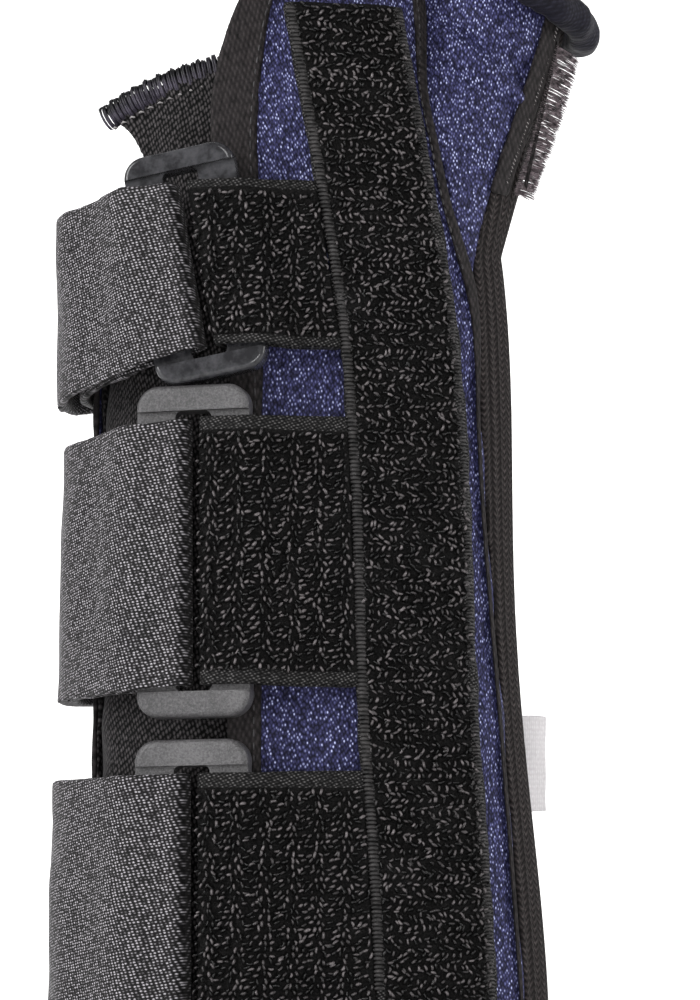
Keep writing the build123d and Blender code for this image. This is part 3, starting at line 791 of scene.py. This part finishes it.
for number, (foot, width) in STRAPS.items():
    name = f"anchor_strap_{number}"
    thinned = through_ring([-7, -1], [1, 0], 0.05, 70 + int(number))
    anchor = soft_piece(name, PILE_GROUND, 0.5, 2, thinned)
    anchor_yarn = Yarn()
    margin = 3.3 if width > 40 else 2.4
    shade_under_loops(anchor, lambda x, z: foot + margin - 0.5 < z < foot + width - margin + 0.5)
    rows = np.arange(foot + margin, foot + width - margin + 0.3, 1.15)
    columns = np.arange(-19.8, 15, 1.25)

    def anchor_place(across, level):
        """Keep the loops off the part that is sewn under the front strip."""
        return across if across < strip_middle(level) - FRONT_STRIP_HALF - 0.4 else 999.0

    spots = spots_on(name, columns, rows, anchor_place, jitter=0.16)
    loop_field(anchor_yarn, spots, 0.6, 0.75, 0.25, column_turn)
    loops = add_object(name + "_loops", anchor_yarn.mesh(name + "_loops"), "splint", PILE_YARN)


def selvedge(yarn, node_name, low, high, pitch, radius, span=(10.0, 210.0)):
    """Short ribs across one edge of the front strip."""
    tree = tree_of(node_name)
    for level in np.arange(*span, pitch):
        path = []
        for share in np.linspace(0, 1, 5):
            x = strip_middle(level) + low + (high - low) * share
            hit = surface_point(tree, x, level + 0.15 * math.sin(share * math.pi))
            if hit is None:
                break
            path.append(hit[0] + hit[1] * radius * 0.35 * MM)
            normal = hit[1]
        if len(path) == 5:
            yarn.add([path], normal, radius * MM, sides=6, blunt=0.5)


ribs = Yarn()
selvedge(ribs, "stay_pocket_front", -11.25, -9.35, 0.78, 0.42)
selvedge(ribs, "stay_pocket_front", 9.7, 11.25, 0.7, 0.3)
add_object("front_strip_selvedges", ribs.mesh("front_strip_selvedges"), "splint", RIB_YARN)


# ---------------------------------------------------------------- elastic straps and hook tabs
for number, (foot, width) in STRAPS.items():
    waves = through_ring([-34, -28], [0, 1], 0.12, 40 + int(number))
    voxel = 0.36 if number == "2" else 0.55        # the layers of strap 2 lie close together
    strap = soft_piece(f"elastic_strap_{number}", ELASTIC, voxel, 2, waves)
    tab_node = f"hook_tab_{number}"
    soft_piece(tab_node, TAPE, 0.45, 2)
    tab_foot = min(v.co.z for v in frame["nodes"][tab_node].data.vertices) / MM
    hooks = Yarn()
    tree = tree_of(tab_node)
    spots = []
    for level in np.arange(tab_foot + 1.6, tab_foot + width - 1.4, 1.7):
        for x in np.arange(-25.8, -9.4, 1.35):
            start = Vector((x * MM, 0.0, level * MM))
            point, normal, _, _ = tree.ray_cast(start, Vector((0, 1, 0)))
            if point:
                spots.append((point, -normal if normal.y > 0 else normal, 0, 0))
    loop_field(hooks, spots, 0.32, 0.38, 0.12, lambda column, row: 0.0, steps=4)
    add_object(tab_node + "_hooks", hooks.mesh(tab_node + "_hooks"), f"tab_{number}", HOOK)
    seam = Yarn()
    seam_levels = (tab_foot + 1.5, tab_foot + width / 2, tab_foot + width - 1.5)
    for across in (-25.3, -23.9):
        stitch_row(seam, tree, [(across, level) for level in seam_levels], pitch=1.9, toward=-1.0)
    add_object(tab_node + "_stitches", seam.mesh(tab_node + "_stitches"), f"tab_{number}", THREAD)


# ---------------------------------------------------------------- serged edge, fringe and collar
def curve_through(points, count):
    """Points along a smooth curve through three millimetre points."""
    a, b, c = [np.array(p, float) for p in points]
    t = np.linspace(0, 1, count)[:, None]
    middle = 2 * b - (a + c) / 2
    return ((1 - t) ** 2 * a + 2 * t * (1 - t) * middle + t ** 2 * c) * MM


def overlock():
    """Thread wound round the tongue's top edge, with a chain of stitches just below it."""
    yarn = Yarn()
    turns = 30
    steps = turns * 14
    spine = curve_through(SERGED_ARC, steps)
    along = np.gradient(spine, axis=0)
    along /= np.linalg.norm(along, axis=1, keepdims=True)
    lean = np.array([0.12, 0.1, -1.0])
    down = lean - along * (along @ lean)[:, None]
    down /= np.linalg.norm(down, axis=1, keepdims=True)
    outward = np.cross(down, along)
    outward *= np.sign(-outward[:, 1:2])
    phase = np.linspace(0, turns * 2 * math.pi, steps)
    wobble = 1 + 0.10 * np.sin(phase * 0.37) + 0.06 * np.sin(phase * 0.71 + 1)
    for shift in (0.0, 2.2):
        coil = (
            spine + down * (1.5 + 2.35 * np.cos(phase + shift) * wobble)[:, None] * MM
            + outward * (1.75 * np.sin(phase + shift) * wobble)[:, None] * MM
        )
        # painted highlight: each turn of the coil is paler on one side, where light catches it
        coil_highlight = 0.35 + 0.65 * np.clip(np.cos(phase + shift - 0.9), 0, 1) ** 3
        yarn.add([coil], outward[None], 0.27 * MM, sides=5, tone=coil_highlight[None])
    chain = Yarn()
    for share in np.linspace(0.05, 0.95, 13):
        k = int(share * (steps - 1))
        base = spine[k] + down[k] * 4.3 * MM + outward[k] * 1.4 * MM
        path = [
            base - along[k] * 0.6 * MM,
            base + outward[k] * 0.25 * MM,
            base + along[k] * 0.5 * MM + down[k] * 0.35 * MM,
        ]
        chain.add([path], outward[k], 0.24 * MM, sides=5, blunt=0.4)
    return yarn.mesh("tongue_overlock"), chain.mesh("tongue_chain_stitch")


overlock_mesh, chain_mesh = overlock()
add_object("tongue_chain_stitch", chain_mesh, "splint", PALE_THREAD)
add_object("tongue_overlock", overlock_mesh, "splint", SERGE_YARN, ["tongue_serged_edge"])


def fringe():
    """Fine curved filaments that stand out past the thumb tape."""
    yarn = Yarn()
    foot_line = [(41.6, 177.0), (44.6, 186.5), (47.6, 196.5), (50.0, 206.5)]
    roots, _ = even_line(foot_line, 0.2)
    for index, (x, z) in enumerate(roots):
        share = index / len(roots)
        for layer in range(4):
            reach = (4.0 + 1.2 * share) * RANDOM.uniform(0.9, 1.06)
            aim = np.array([0.9, 0.0, -0.12 - 0.3 * share]) + RANDOM.normal(0, 0.04, 3)
            aim /= np.linalg.norm(aim)
            start = np.array([x + RANDOM.normal(0, 0.2), -9.6 + 0.4 * layer, z + RANDOM.normal(0, 0.15)])
            curl = RANDOM.uniform(0.3, 0.8)
            path = [
                start + aim * reach * t - np.array([0, 0, 1.0]) * curl * t * t + np.array([0, 0.8, 0]) * t
                for t in np.linspace(0, 1, 7)
            ]
            yarn.add([np.array(path) * MM], (0, 1, 0), 0.085 * MM, sides=3)
    return yarn


def narrow_base(points, normals):
    """The strip's woven base is a narrow band beside the tape; the rest of its width is filaments."""
    edge = np.interp(points[:, 2] / MM, [177, 206], [43.2, 49.6]) * MM
    moved = points.copy()
    moved[:, 0] = edge + (points[:, 0] - edge) * 0.15
    return moved


soft_piece("thumb_hook_strip", TAPE, 0.3, 1, narrow_base)
add_object("thumb_fringe", fringe().mesh("thumb_fringe"), "splint", FRINGE)


def puffed_collar():
    """The rolled thumb collar, filled by a short cloth simulation that is capped so it stays in place."""
    mesh = remeshed("thumb_collar", 1.3, 2)
    rest = vertices_of(mesh)
    obj = linked("collar_blank", mesh)
    cloth = obj.modifiers.new("cloth", "CLOTH")
    cloth.settings.use_pressure = True
    cloth.settings.uniform_pressure_force = 4.0
    cloth.settings.effector_weights.gravity = 0.0
    cloth.settings.quality = 5
    cloth.settings.shrink_min = -0.12
    for number in range(1, 21):
        bpy.context.scene.frame_set(number)
    mesh = applied(obj)
    moved = vertices_of(mesh) - rest
    length = np.linalg.norm(moved, axis=1, keepdims=True)
    moved *= np.minimum(1.0, COLLAR_CAP / np.maximum(length, 1e-9))
    rest = rest + moved
    bpy.context.scene.frame_set(1)
    rest = rest + normals_of(mesh) * smooth_waves(rest, 0.28 * MM, 9 * MM, 77)[:, None]
    mesh.vertices.foreach_set("co", rest.ravel())
    mesh.update()
    holder = linked("holder", mesh)
    finer = holder.modifiers.new("finer", "SUBSURF")
    finer.levels = 1
    finer.render_levels = 1
    final = applied(holder)
    wrap_uv(final)
    return final


collar = add_object("thumb_collar_fabric", puffed_collar(), "splint", COLLAR, ["thumb_collar"])

soft_piece("care_label", LABEL, 0.2, 1, lumpy(0.12, 9, 66))
soft_piece("stay_front", METAL, 0.5, 1)

for number in "321":
    ring = frame["nodes"][f"strap_ring_{number}"]
    ring.material_slots[0].material = RING_GLOSS if number == "1" else RING_MATT
frame["nodes"]["stay_back"].material_slots[0].material = METAL


# ---------------------------------------------------------------- floor, light and camera
def floor():
    """A pale floor that sweeps up behind the object."""
    mesh = bpy.data.meshes.new("floor")
    profile = [(-3.0, 0.0), (1.6, 0.0)]
    for turn in range(1, 13):
        angle = math.radians(turn * 7.5)
        profile.append((1.6 + 0.9 * math.sin(angle), 0.9 - 0.9 * math.cos(angle)))
    profile.append((2.5, 4.0))
    points = [(side, y, z - 0.0002) for y, z in profile for side in (-4.0, 4.0)]
    faces = [(2 * i, 2 * i + 1, 2 * i + 3, 2 * i + 2) for i in range(len(profile) - 1)]
    mesh.from_pydata(points, [], faces)
    mesh.shade_smooth()
    material, tree, shader = new_material("pale_floor")
    tone = ramp(tree, object_noise(tree, 40.0, 2.0), [(0.3, (0.86, 0.86, 0.86)), (0.7, (0.9, 0.9, 0.9))])
    tree.links.new(tone, shader.inputs["Base Color"])
    shader.inputs["Roughness"].default_value = 0.7
    mesh.materials.append(material)
    linked("floor", mesh)


def area_light(name, place, aim, size, power):
    light = bpy.data.lights.new(name, "AREA")
    light.shape = "RECTANGLE"
    light.size, light.size_y = size
    light.energy = power
    obj = linked(name, light)
    obj.location = place
    obj.rotation_euler = (Vector(aim) - Vector(place)).to_track_quat("-Z", "Y").to_euler()


floor()
area_light("left_light", (-0.9, -0.5, 0.5), (0, 0, 0.12), (0.4, 0.9), 10)
area_light("right_light", (1.0, -0.1, 0.4), (0, 0, 0.12), (0.3, 0.9), 5)
area_light("front_light", (-0.15, -1.3, 0.9), (0, 0, 0.12), (0.5, 0.5), 5)
area_light("low_strip", (0.05, -0.8, 0.015), (0, 0, 0.14), (0.5, 0.04), 1.6)
area_light("backdrop_light", (0.0, 0.9, 1.6), (0, 2.5, 0.5), (2.0, 0.6), 60)
world = bpy.data.worlds.new("studio")
world.use_nodes = True
world.node_tree.nodes["Background"].inputs["Color"].default_value = (1, 1, 1, 1)
world.node_tree.nodes["Background"].inputs["Strength"].default_value = 0.36
bpy.context.scene.world = world
bpy.context.scene.view_settings.view_transform = "Standard"

SENSOR = 36.0             # Blender's own sensor size, in millimetres
FRONT_DISTANCE = 650.0    # from the camera to the shell's front face, in millimetres
VIEW_HEIGHT = 189.0       # how much of that face the picture's height spans
CLOSER = 1.012            # the view is this much tighter than that
camera_data = bpy.data.cameras.new("camera")
camera_data.lens = SENSOR * FRONT_DISTANCE / VIEW_HEIGHT * CLOSER
camera = linked("camera", camera_data)
camera.location = (0.0094, -0.683, 0.049)
camera.rotation_euler = (math.radians(95.72), 0, 0)
camera_data.clip_start = 0.01
bpy.context.scene.camera = camera
